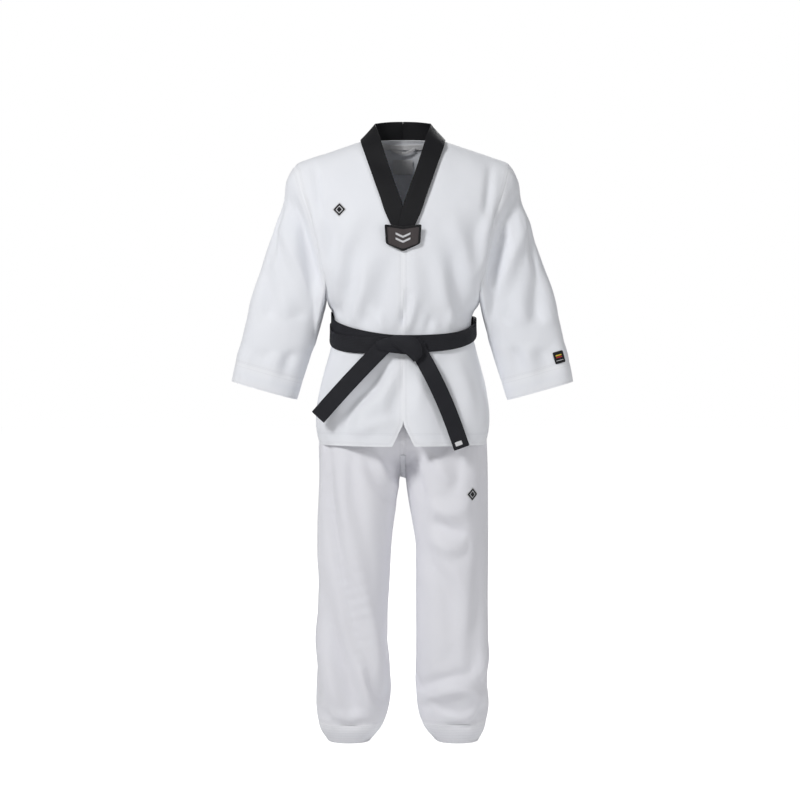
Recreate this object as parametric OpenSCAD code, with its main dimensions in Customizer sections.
// Martial arts uniform as worn, with nobody inside: V-neck jacket, tied belt and drawcord trousers.
// Millimetres. +Z is up, the front faces -Y and +X is the wearer's left. Z = 0 is the trouser hem.

/* [Jacket] */
// Height of the shoulder seam beside the neck
neck_z = 1437; // [1430:1:1442]
// Fall of the shoulder seam from the neck to the sleeve
shoulder_fall = 53; // [50:1:56]
// Half width of the jacket across its shoulder points
shoulder_half_w = 256; // [252:1:258]
// Half width of the neck opening
neck_half_w = 96; // [92:1:98]
// Half width of the jacket under the belt
waist_half_w = 168; // [166:1:172]
// Half depth of the jacket under the belt
waist_half_d = 127; // [125:1:129]
// Half depth of the jacket at the chest
chest_half_d = 140; // [136:1:144]
// Height of the jacket hem
jacket_hem_z = 715; // [705:1:722]
// Half width of the jacket skirt at its widest
skirt_half_w = 213; // [210:1:218]
// Half depth of the jacket skirt at the hem
skirt_half_d = 150; // [148:1:153]
// Height of the front slit
slit_h = 53; // [40:1:65]
// Thickness of the jacket cloth
cloth_t = 1.6; // [1.2:0.1:1.8]

/* [Collar] */
// Width of the collar band
collar_w = 47; // [44:1:50]
// Height of the point of the V
v_point_z = 1286; // [1276:1:1292]
// Thickness of the collar band
collar_t = 2; // [1.6:0.1:2.4]

/* [Sleeves] */
// Length of a sleeve from the shoulder pivot to the cuff
sleeve_l = 493; // [470:1:510]
// Lean of a sleeve away from straight down
sleeve_lean = 15.75; // [14:0.25:17]
// Radius of the sleeve head about the shoulder pivot
head_r = 68; // [66:1:69]
// Half width of a sleeve at the elbow
elbow_half_w = 89; // [86:1:90]
// Half width of a cuff
cuff_half_w = 81; // [76:1:84]
// Half depth of a cuff
cuff_half_d = 54; // [48:1:60]
// Height of the stitched cuff hem
cuff_hem_h = 45; // [35:1:50]

/* [Belt] */
// Width of the belt
belt_w = 39; // [36:1:40]
// Thickness of the belt
belt_t = 3; // [2.4:0.1:3.2]
// Height of the belt's middle at the wearer's sides
belt_side_z = 995; // [990:1:1000]
// How far the belt dips at the front
belt_dip = 42; // [38:1:46]
// Length of the tail on the wearer's left
left_tail_l = 258; // [240:1:268]
// Length of the tail on the wearer's right
right_tail_l = 228; // [215:1:240]

/* [Trousers] */
// Height of the crotch
crotch_z = 648; // [642:1:652]
// Half width of the thigh part of a leg
thigh_half_w = 95; // [92:1:96]
// Half width of a leg at the shin
shin_half_w = 87; // [82:1:90]
// Half width of an ankle hem
ankle_half_w = 58; // [54:1:62]
// Height of the stitched ankle hem
ankle_hem_h = 45; // [38:1:50]
// Thickness of the trouser cloth
trouser_t = 1.4; // [1.2:0.1:1.6]

/* [Badges] */
// Width of the chest badge
badge_w = 86; // [80:1:90]
// Height of the chest badge
badge_h = 63; // [58:1:66]
// Width of the chest and leg emblems
emblem_w = 30; // [26:1:32]

/* [Hidden] */

// Half gap left at a seam between two neighbouring pieces
seam_gap = 0.6;
// Half gap left where front and back meet over the shoulder
shoulder_gap = 1.2;
// Superellipse exponent of the torso and skirt cross-sections, and of the trouser cross-sections
torso_power = 2.5;
leg_power = 2.2;
seat_power = 3;
// The shoulders start to round over at this height, with this exponent
dome_z = neck_z - 187;
dome_power = 2.2;
// Lowest point of the armhole
armhole_z = neck_z - 392;
// Pivot of the sleeves and of the trouser legs
sleeve_pivot = [198, 0, neck_z - 119];
hip_z = crotch_z + 17;
hip_r = 112;
leg_gap = 12;

// ---------- small helpers ----------
function mix(a, b, t) = a + (b - a) * t;
function clamp01(t) = min(1, max(0, t));
function ease(t) = let (c = clamp01(t)) c * c * (3 - 2 * c);
function steps(n) = [for (k = [0:n]) k / n];
function unit(v) = v / norm(v);
// Height of a superellipse arch of half span 1 at distance s from its middle
function arch(s, power) = pow(1 - pow(min(0.9999, abs(s)), power), 1 / power);
// Power of a sine or cosine that keeps its sign
function signed_pow(a, p) = sign(a) * pow(abs(a), p);
// Places 0..1 across a panel, closer together towards its far edge, where the cloth turns away
function spread(u) = sin(80 * u) / sin(80);
// Smooth curve through a list of points, at t from 0 to 1
function curve(pts, t) =
    let (n = len(pts) - 1, s = min(n - 0.0001, t * n), k = floor(s), f = s - k,
         a = pts[max(0, k - 1)], b = pts[k], c = pts[k + 1], d = pts[min(n, k + 2)])
    b + (c - a) * f / 2 + (2 * a - 5 * b + 4 * c - d) * f * f / 2 + (3 * b - a - 3 * c + d) * f * f * f / 2;

// Outward direction of a grid of points at row i and column j
function grid_normal(face, i, j, closed) =
    let (rows = len(face), cols = len(face[0]),
         i0 = max(0, i - 1), i1 = min(rows - 1, i + 1),
         j0 = closed ? (j + cols - 1) % cols : max(0, j - 1),
         j1 = closed ? (j + 1) % cols : min(cols - 1, j + 1))
    unit(cross(face[i1][j] - face[i0][j], face[i][j1] - face[i][j0]));

// A sheet of cloth. face is a grid of points on its outer side; closed joins the last column to the first.
module sheet(face, thick, closed = false) {
    rows = len(face);
    cols = len(face[0]);
    inner_start = rows * cols;
    outer_pts = [for (row = face) for (p = row) p];
    inner_pts = [for (i = [0:rows - 1]) for (j = [0:cols - 1])
        face[i][j] - thick * grid_normal(face, i, j, closed)];
    last_col = closed ? cols - 1 : cols - 2;
    skin = [for (i = [0:rows - 2]) for (j = [0:last_col])
        let (a = i * cols + j, b = a + cols, c = i * cols + (j + 1) % cols, d = c + cols)
        each [[a, b, d], [a, d, c]]];
    lining = [for (f = skin) [f[2], f[1], f[0]] + inner_start * [1, 1, 1]];
    ends = [for (j = [0:last_col])
        let (k = (j + 1) % cols, s = (rows - 1) * cols)
        each concat(rim(j, k, inner_start), rim(s + k, s + j, inner_start))];
    sides = closed ? [] : [for (i = [0:rows - 2])
        let (a = i * cols, b = a + cols, c = a + cols - 1, d = c + cols)
        each concat(rim(b, a, inner_start), rim(c, d, inner_start))];
    // polyhedron() wants each face turned the other way round
    polyhedron(points = concat(outer_pts, inner_pts),
        faces = [for (f = concat(skin, lining, ends, sides)) [f[2], f[1], f[0]]]);
}
// The two triangles that close a sheet's edge between outer points a and b
function rim(a, b, s) = [[a, b, b + s], [a, b + s, a + s]];

// A flat shape standing on a surface: p is the place, out the surface's outward direction, up the shape's top
module stand_on(p, out, lift, up = [0, 0, 1]) {
    side = unit(cross(up, out));
    top = cross(out, side);
    at = p + lift * out;
    multmatrix([[side.x, top.x, out.x, at.x], [side.y, top.y, out.y, at.y], [side.z, top.z, out.z, at.z]])
        children();
}

// ---------- the jacket body ----------
// How far the torso's section would run on past the shoulder point
shoulder_return = 38;
// The cloth is drawn in under the belt and grows above the belt's highest edge
belt_top_z = belt_side_z + 42;
torso_w_rows = [
    [belt_side_z - 45, waist_half_w - 2], [belt_top_z, waist_half_w - 2],
    [armhole_z + 6, waist_half_w + 6], [armhole_z + 35, waist_half_w + 26], [armhole_z + 75, waist_half_w + 46],
    [armhole_z + 121, waist_half_w + 53], [dome_z, waist_half_w + 80], [neck_z - 117, waist_half_w + 106],
    [neck_z - 47, shoulder_half_w + shoulder_return]
];
torso_d_rows = [
    [belt_side_z - 45, waist_half_d - 2], [belt_top_z, waist_half_d - 2], [armhole_z + 35, chest_half_d - 4],
    [armhole_z + 121, chest_half_d], [dome_z, chest_half_d - 4], [neck_z - 107, chest_half_d - 16],
    [neck_z - 37, chest_half_d - 28]
];
// Share of the half width that the front and back panels reach: round to the side below the armhole
function panel_reach(z) = mix(0.997, shoulder_half_w / (shoulder_half_w + shoulder_return), ease((z - armhole_z) / 60));
function shoulder_line(x) =
    neck_z - shoulder_fall * (abs(x) - neck_half_w) / (shoulder_half_w - neck_half_w);
function torso_depth(x, z, close_z) =
    lookup(z, torso_d_rows) * arch(x / lookup(z, torso_w_rows), torso_power)
    * arch(max(0, z - dome_z) / (close_z - dome_z), dome_power);
// Middle height of the belt where the body's half depth share is s, forward negative
function belt_middle(s) = belt_side_z + (s < 0 ? belt_dip : 15) * s;

// Where the front panel's edge runs under the collar band
collar_edge_rows = [
    [v_point_z - 96, seam_gap], [v_point_z - 58, 24], [v_point_z + 10, neck_half_w - 46],
    [v_point_z + 76, neck_half_w - 23], [neck_z - 21, neck_half_w - 5], [neck_z, neck_half_w]
];
function collar_edge(z) = lookup(z, collar_edge_rows);

// Height at which the back would close over at x: higher behind the neck than along the shoulders
function neck_close_z(x) =
    abs(x) < neck_half_w ? neck_z + 50 * (1 - abs(x) / neck_half_w) : shoulder_line(x);
function front_point(u, v) =
    let (s = spread(u),
         top_z = shoulder_line(mix(neck_half_w, shoulder_half_w, s)),
         z = mix(belt_middle(-arch(s, torso_power)), top_z, v),
         x = mix(collar_edge(z), panel_reach(z) * lookup(z, torso_w_rows), s))
    [x, -shoulder_gap - torso_depth(x, z, top_z), z];
function back_point(u, v) =
    let (s = sign(u) * spread(abs(u)),
         shoulder_x = neck_half_w / shoulder_half_w,
         at_neck = clamp01(abs(s) / shoulder_x),
         top_x = shoulder_half_w * abs(s),
         edge_z = abs(s) < shoulder_x ? neck_z + 10 * (1 - at_neck * at_neck) : shoulder_line(top_x),
         close_z = neck_close_z(top_x),
         z = mix(belt_middle(arch(s, torso_power)), edge_z, v),
         x = s * panel_reach(z) * lookup(z, torso_w_rows))
    [x, shoulder_gap + torso_depth(x, z, close_z), z];
function front_normal(x, z) =
    let (p = function(a, b) [a, -torso_depth(a, b, neck_z), b])
    unit(cross(p(x + 1, z) - p(x - 1, z), p(x, z + 1) - p(x, z - 1)));

module front_panel() {
    sheet([for (u = steps(11)) [for (v = steps(18)) front_point(u, v)]], cloth_t);
}
module front_panel_left() { color("white") front_panel(); }
module front_panel_right() { color("white") mirror([1, 0, 0]) front_panel(); }
module back_panel() {
    color("white") sheet([for (v = steps(18)) [for (u = steps(20)) back_point(2 * u - 1, v)]], cloth_t);
}
// Strip of cloth that closes each side between the front and back panels, up to the armhole
module gusset() {
    low_z = belt_side_z + 3;
    sheet([for (v = steps(4)) [for (u = steps(4))
        let (z = mix(armhole_z - 2, low_z, v), half_d = 20)
        [lookup(z, torso_w_rows) - 5, half_d * (2 * u - 1), z]]], cloth_t);
}
module gusset_left() { color("gainsboro") gusset(); }
module gusset_right() { color("gainsboro") mirror([1, 0, 0]) gusset(); }

// ---------- the jacket skirt ----------
// How far the two wraps of the belt fan apart on the wearer's right
wrap_fan = 13;
// The skirt starts just under the belt: s is the share of the half width, depth_share that of the half depth
function skirt_top(s, depth_share, fan) = belt_middle(depth_share) - belt_w / 2 - 3 - fan * s;
skirt_w_rows = [
    [jacket_hem_z, skirt_half_w - 4], [jacket_hem_z + 55, skirt_half_w], [belt_side_z - 110, skirt_half_w - 17],
    [belt_side_z - 45, waist_half_w + 12], [belt_side_z - 20, waist_half_w + 2]
];
vent_gap = 4;
function skirt_depth(z) =
    mix(skirt_half_d, waist_half_d, clamp01((z - jacket_hem_z) / (belt_side_z - belt_dip - jacket_hem_z)));
function skirt_point(s, v, top_z, edge_x) =
    let (z = mix(top_z, jacket_hem_z, v), x = mix(edge_x, lookup(z, skirt_w_rows), s),
         share = arch(x / lookup(z, skirt_w_rows), torso_power))
    [x, vent_gap + (skirt_depth(z) - vent_gap) * share, z];
function slit_edge(z) = seam_gap + max(0, jacket_hem_z + slit_h - z) * 0.45;
module front_skirt(fan) {
    mirror([0, 1, 0]) sheet([for (u = steps(11)) [for (v = steps(9))
        let (s = spread(u), top_z = skirt_top(s, -arch(s, torso_power), fan), z = mix(top_z, jacket_hem_z, v))
        skirt_point(s, v, top_z, slit_edge(z))]], cloth_t);
}
module front_skirt_left() { color("white") front_skirt(0); }
module front_skirt_right() { color("white") mirror([1, 0, 0]) front_skirt(wrap_fan); }
module back_skirt() {
    color("white") sheet([for (v = steps(9)) [for (u = steps(20))
        let (side = sign(1 - 2 * u), s = spread(abs(1 - 2 * u)),
             p = skirt_point(s, v, skirt_top(s, arch(s, torso_power), side < 0 ? wrap_fan : 0), 0))
        [side * p.x, p.y, p.z]]], cloth_t);
}

// ---------- the sleeves ----------
sleeve_down = [sin(sleeve_lean), 0, -cos(sleeve_lean)];
sleeve_out = [cos(sleeve_lean), 0, sin(sleeve_lean)];
// The head is flatter than it is wide, so that it stays inside the armhole as the sleeve is raised
head_half_d = head_r - 5;
head_l = 85;
sleeve_w_rows = [
    [0, head_r], [head_l, head_r], [head_l + 75, elbow_half_w - 4], [270, elbow_half_w], [sleeve_l, cuff_half_w]
];
sleeve_d_rows = [
    [0, head_half_d], [head_l, head_half_d], [head_l + 75, head_half_d + 3],
    [300, mix(cuff_half_d, head_half_d, 0.6)], [sleeve_l, cuff_half_d]
];
// Share of the full section left above the pivot, where the sleeve head closes as a ball
function head_share(s) = s < 0 ? sqrt(1 - pow(s / head_r, 2)) : 1;
function sleeve_power(s) = mix(2, torso_power, ease((s - head_l) / 150));
function sleeve_point(s, a, grow = 0) =
    let (p = 2 / sleeve_power(s), share = head_share(s),
         w = lookup(max(0, s), sleeve_w_rows) + grow, d = lookup(max(0, s), sleeve_d_rows) + grow)
    sleeve_pivot + sleeve_down * s + sleeve_out * (w * share * signed_pow(cos(a), p))
    + [0, d * share * signed_pow(sin(a), p), 0];
// The sleeve starts high on its outer side and below the armhole on its inner side
sleeve_head_top = -50;
sleeve_armpit = 266;
function sleeve_start(a) = mix(sleeve_head_top, sleeve_armpit, pow((1 - cos(a)) / 2, 1.8));
function turns(n) = [for (k = [0:n - 1]) 360 * k / n];
module sleeve() {
    sheet([for (v = steps(14)) [for (a = turns(28))
        sleeve_point(mix(sleeve_start(a), sleeve_l - cuff_hem_h - seam_gap, v), a)]], cloth_t, closed = true);
}
module sleeve_left() { color("white") sleeve(); }
module sleeve_right() { color("white") mirror([1, 0, 0]) sleeve(); }
module cuff_hem() {
    sheet([for (v = steps(2)) [for (a = turns(28))
        sleeve_point(mix(sleeve_l - cuff_hem_h + seam_gap, sleeve_l, v), a, 0.4)]], 2 * cloth_t, closed = true);
}
module cuff_hem_left() { color("whitesmoke") cuff_hem(); }
module cuff_hem_right() { color("whitesmoke") mirror([1, 0, 0]) cuff_hem(); }

// ---------- the collar ----------
collar_lap = 5;
function on_front(x, z, lift) = [x, -torso_depth(x, z, neck_z + 3) - lift, z];
function collar_base(lift) = [
    for (z = [v_point_z - 60, v_point_z + 10, v_point_z + 70, v_point_z + 118])
        on_front(collar_edge(z) + collar_lap, z, lift),
    [neck_half_w + 2, 2, neck_z + 4], [neck_half_w - 14, 44, neck_z + 8],
    [neck_half_w - 46, 66, neck_z + 10], [0, 73, neck_z + 11]
];
// Height of the band above its base when it stands up behind the neck
collar_stand = collar_w - 4;
function collar_top(lift) = [
    on_front(-collar_w / 4, v_point_z - 65, lift), on_front(5, v_point_z, lift),
    on_front(26, v_point_z + 62, lift - 3), [46, -70, neck_z - 20],
    [66, 6, neck_z + collar_stand - 3], [60, 36, neck_z + collar_stand + 4],
    [36, 54, neck_z + collar_stand + 9], [0, 61, neck_z + collar_stand + 11]
];
module collar_band(lift) {
    base = collar_base(lift);
    top = collar_top(lift);
    // The last stretch stops at the centre back seam
    sheet([for (u = steps(22)) [for (k = [0:3])
        let (p = mix(curve(base, u), curve(top, u), k / 3)) [max(p.x, u > 0.9 ? seam_gap : -999), p.y, p.z]]],
        collar_t);
}
module collar_band_left() { color([0.08, 0.08, 0.1]) collar_band(8); }
module collar_band_right() { color([0.08, 0.08, 0.1]) mirror([1, 0, 0]) collar_band(5); }

function inside_back(x, z, lift) = [x, torso_depth(x, z, neck_close_z(x)) - lift, z];
module neck_tape() {
    color("gainsboro") sheet([for (v = steps(2)) [for (u = steps(8))
        inside_back(mix(-62, 62, u), mix(neck_z - 14, neck_z - 2, v), 7)]], 0.8);
}
module hanging_loop() {
    color("whitesmoke") sheet([for (v = steps(2)) [for (u = steps(10))
        let (x = mix(-30, 30, u), sag = 9 * sin(180 * u))
        inside_back(x, neck_z - 12 - sag + 7 * (v - 0.5), 10 + sag / 3)]], 1);
}
module size_label() {
    color("whitesmoke") sheet([for (v = steps(3)) [for (u = steps(4))
        inside_back(mix(-24, 24, u), mix(neck_z - 70, neck_z - 36, v), 6)]], 0.6);
}

// ---------- badges and emblems ----------
badge_t = 1.6;
badge_top_z = v_point_z - 57;
badge_y = -chest_half_d - 8;
module badge_outline(inset) {
    w = badge_w / 2 - inset;
    shoulder_h = badge_h * 0.29;
    polygon([
        [-w, -inset], [0, -inset - badge_h * 0.1], [w, -inset], [w - 3, -badge_h + shoulder_h],
        [0, -badge_h + 1.1 * inset], [-w + 3, -badge_h + shoulder_h]
    ]);
}
module badge_place(lift) {
    translate([0, badge_y - lift, badge_top_z]) rotate([90, 0, 0]) children();
}
module chest_badge() {
    color([0.22, 0.2, 0.2]) badge_place(0) linear_extrude(badge_t) badge_outline(0);
}
module badge_border() {
    color([0.05, 0.05, 0.06]) badge_place(badge_t + 0.2) linear_extrude(1)
        difference() {
            badge_outline(0);
            badge_outline(6);
        }
}
// Two plain chevrons
module badge_motif() {
    half = badge_w * 0.2;
    thick = 5;
    color("lightgray") badge_place(badge_t + 0.2)
        for (drop = [badge_h * 0.3, badge_h * 0.48])
            translate([0, -drop, 0]) linear_extrude(0.8)
                polygon([[-half, 0], [0, -8], [half, 0], [half, -thick], [0, -8 - thick], [-half, -thick]]);
}
// A plain lozenge with a lozenge-shaped hole and a centre
module emblem(w) {
    linear_extrude(0.8) {
        difference() {
            circle(r = w / 2, $fn = 4);
            circle(r = w / 2 - 4.5, $fn = 4);
        }
        circle(r = w / 5, $fn = 4);
    }
}
module chest_emblem() {
    x = 148;
    z = v_point_z - 21;
    n = front_normal(x, z);
    color("black") mirror([1, 0, 0]) stand_on(on_front(x, z, shoulder_gap), n, 1.6) emblem(emblem_w);
}

// ---------- the belt ----------
wrap_gap = 2;
module belt_wrap(layer, fan) {
    out = wrap_gap + layer * (belt_t + 1) + belt_t;
    sheet([for (v = [0.5, 0, -0.5]) [for (a = turns(48))
        let (c = signed_pow(cos(a), 2 / torso_power), s = signed_pow(sin(a), 2 / torso_power))
        [(waist_half_w + out) * c, (waist_half_d + out) * s,
         belt_middle(s) + v * belt_w + fan * ease(-c)]]], belt_t, closed = true);
}
module belt_inner_wrap() { color([0.1, 0.1, 0.12]) belt_wrap(0, wrap_fan + 1); }
module belt_outer_wrap() { color([0.12, 0.12, 0.14]) belt_wrap(1, -wrap_fan); }

belt_front_y = -(waist_half_d + wrap_gap + 2 * belt_t + 1);
knot_z = belt_side_z - belt_dip + 1;
knot_x = -2;
// A flat-sided pad with rounded corners, lying in the plane of the belt
module pad(w, h, t, r) {
    rotate([90, 0, 0]) linear_extrude(t) offset(r) square([w - 2 * r, h - 2 * r], center = true);
}
// The band that runs under the crossing, and the slanted band that closes over it
module belt_knot_core() {
    color([0.09, 0.09, 0.11]) translate([knot_x, belt_front_y - 1, knot_z]) pad(78, belt_w - 4, 6, 6);
}
module belt_knot() {
    color([0.14, 0.14, 0.16]) translate([knot_x + 4, belt_front_y - 8, knot_z])
        rotate([0, 32, 0]) pad(56, belt_w - 3, 4, 9);
}

// The tails hang flat in front of the skirt. Each turns about its own pin-like place at the knot.
tail_y = belt_front_y - 21;
tail_turn = 11;
left_tail_top = [30, tail_y, knot_z - 6];
right_tail_top = [-42, tail_y, knot_z - 4];
left_tail_lean = 22.5;
right_tail_lean = 43;
// A strap hanging from a rounded end, in the plane facing the front
module tail(length) {
    rotate([90, 0, 0]) linear_extrude(belt_t) {
        translate([-belt_w / 2, -length]) square([belt_w, length]);
        circle(d = belt_w, $fn = 48);
    }
}
module tail_place(top, lean, side) {
    translate(top) rotate([0, 0, side * tail_turn]) rotate([0, -side * lean, 0]) children();
}
module belt_tail_left() {
    color([0.13, 0.13, 0.15]) tail_place(left_tail_top, left_tail_lean, 1) tail(left_tail_l);
}
module belt_tail_right() {
    color([0.13, 0.13, 0.15]) tail_place(right_tail_top, right_tail_lean, -1) tail(right_tail_l);
}
module belt_label() {
    label = [17, 0.8, 10];
    color("white") tail_place(left_tail_top, left_tail_lean, 1)
        translate([-label.x / 2 - 5, -belt_t - 0.3 - label.y, -left_tail_l + 8]) cube(label);
}

// ---------- the trousers ----------
waist_z = belt_side_z - 20;
waistband_h = 40;
seat_w_rows = [
    [crotch_z + 70, 205], [crotch_z + 132, 197], [crotch_z + 190, 174], [crotch_z + 240, 160], [waist_z, 150]
];
seat_d_rows = [[crotch_z + 50, hip_r + 15], [crotch_z + 132, hip_r + 10], [crotch_z + 240, hip_r], [waist_z, 108]];
function seat_low_z(a) = mix(crotch_z + 76, crotch_z + 34, (1 - cos(a)) / 2);
module trouser_seat() {
    sheet([for (v = steps(10)) [for (a = [0:9:180])
        let (z = mix(waist_z - seam_gap, seat_low_z(a), v), p = 2 / seat_power)
        [max(1.6, lookup(z, seat_w_rows) * signed_pow(sin(a), p)), -lookup(z, seat_d_rows) * signed_pow(cos(a), p), z]]],
        trouser_t);
}
module trouser_seat_left() { color("white") trouser_seat(); }
module trouser_seat_right() { color("white") mirror([1, 0, 0]) trouser_seat(); }

// A strip from the front of the seat, under the crotch and up to the back
module crotch_gusset() {
    half_w = 7;
    reach = hip_r + 3;
    color("gainsboro") sheet([for (u = steps(20)) [for (x = [-half_w, half_w])
        let (a = mix(-14, 190, u), drop = hip_z - crotch_z)
        [x, -reach * cos(a), hip_z - (sin(a) > 0 ? drop : 140) * sin(a)]]], trouser_t);
}

leg_centre_rows = [[0, 130], [60, 122], [118, 120], [348, 116], [506, 113], [crotch_z - 22, 108], [hip_z + 90, 105]];
leg_w_rows = [
    [0, ankle_half_w], [25, ankle_half_w + 11], [50, ankle_half_w + 20], [80, shin_half_w - 3], [118, shin_half_w],
    [348, shin_half_w + 2], [506, thigh_half_w - 3], [crotch_z - 22, thigh_half_w], [hip_z, thigh_half_w - 2],
    [hip_z + 90, thigh_half_w - 12]
];
leg_d_rows = [
    [0, ankle_half_w], [50, ankle_half_w + 16], [118, shin_half_w - 3], [348, shin_half_w + 3],
    [506, thigh_half_w + 3], [crotch_z - 48, hip_r - 4]
];
// Above the hip the leg is round about the hip axis, so that it turns inside the seat
function leg_half_d(z) = z > hip_z ? sqrt(pow(hip_r, 2) - pow(z - hip_z, 2)) :
    min(hip_r, mix(lookup(z, leg_d_rows), hip_r, ease((z - crotch_z + 48) / 65)));
function leg_point(z, a, grow = 0) =
    let (p = 2 / leg_power, w = lookup(z, leg_w_rows) + grow)
    [max(leg_gap, lookup(z, leg_centre_rows) + w * signed_pow(cos(a), p)),
     (leg_half_d(z) + grow) * signed_pow(sin(a), p), z];
leg_top_z = hip_z + 78;
module trouser_leg() {
    low_z = ankle_hem_h + seam_gap;
    sheet([for (v = steps(20)) [for (a = turns(28)) leg_point(mix(leg_top_z, low_z, v), a)]],
        trouser_t, closed = true);
}
module trouser_leg_left() { color("white") trouser_leg(); }
module trouser_leg_right() { color("white") mirror([1, 0, 0]) trouser_leg(); }
module ankle_hem() {
    sheet([for (v = steps(3)) [for (a = turns(28)) leg_point(mix(ankle_hem_h - seam_gap, 0, v), a, 0.4)]],
        2 * trouser_t, closed = true);
}
module ankle_hem_left() { color("whitesmoke") ankle_hem(); }
module ankle_hem_right() { color("whitesmoke") mirror([1, 0, 0]) ankle_hem(); }

// Waistband, its elastic and the drawcord
function waist_ring(z, out, n) = [for (a = turns(n))
    [(150 + out) * signed_pow(cos(a), 2 / torso_power), (108 + out) * signed_pow(sin(a), 2 / torso_power), z]];
module waistband() {
    color("whitesmoke") sheet([for (z = [waist_z + waistband_h, waist_z + seam_gap]) waist_ring(z, 2, 48)],
        trouser_t, closed = true);
}
module waist_elastic() {
    color("gainsboro") sheet([for (z = [waist_z + waistband_h - 6, waist_z + 6]) waist_ring(z, 0, 48)],
        1, closed = true);
}
cord_r = 2.5;
cord_x = 15;
cord_y = -118.2;
cord_top_z = waist_z + 20;
module drawcord_eyelets() {
    color("silver") for (side = [-1, 1])
        translate([side * cord_x, -110.4, cord_top_z]) rotate([90, 0, 0]) difference() {
            cylinder(r = 5, h = 1.2, $fn = 32);
            translate([0, 0, -1]) cylinder(r = 3, h = 4, $fn = 32);
        }
}
module drawcord() {
    tip_l = 8;
    length = 86;
    translate([cord_x, cord_y, cord_top_z]) {
        sphere(r = cord_r, $fn = 32);
        translate([0, 0, -length]) cylinder(r = cord_r, h = length, $fn = 32);
        translate([0, 0, -length - tip_l]) cylinder(r = cord_r + 0.6, h = tip_l, $fn = 32);
    }
}
module drawcord_left() { color("white") drawcord(); }
module drawcord_right() { color("white") mirror([1, 0, 0]) drawcord(); }

// ---------- emblems on the leg and sleeve ----------
module leg_emblem() {
    z = crotch_z - 49;
    a = -52;
    p = leg_point(z, a);
    n = unit(cross(leg_point(z - 2, a) - leg_point(z + 2, a), leg_point(z, a + 1) - leg_point(z, a - 1)));
    color("black") stand_on(p, n, 1.4) emblem(emblem_w);
}
module sleeve_label() {
    s = sleeve_l - 85;
    a = -30;
    size = [22, 28];
    p = sleeve_point(s, a);
    n = unit(cross(sleeve_point(s + 2, a) - sleeve_point(s - 2, a), sleeve_point(s, a + 1) - sleeve_point(s, a - 1)));
    color("black") stand_on(p, n, 1.6, -sleeve_down) linear_extrude(0.8) square(size, center = true);
}

// ---------- everything ----------
front_panel_left();
front_panel_right();
back_panel();
gusset_left();
gusset_right();
front_skirt_left();
front_skirt_right();
back_skirt();
sleeve_left();
sleeve_right();
cuff_hem_left();
cuff_hem_right();
collar_band_left();
collar_band_right();
neck_tape();
hanging_loop();
size_label();
chest_badge();
badge_border();
badge_motif();
chest_emblem();
sleeve_label();
leg_emblem();
belt_inner_wrap();
belt_outer_wrap();
belt_knot();
belt_knot_core();
belt_tail_left();
belt_tail_right();
belt_label();
waistband();
waist_elastic();
drawcord_eyelets();
drawcord_left();
drawcord_right();
trouser_seat_left();
trouser_seat_right();
crotch_gusset();
trouser_leg_left();
trouser_leg_right();
ankle_hem_left();
ankle_hem_right();
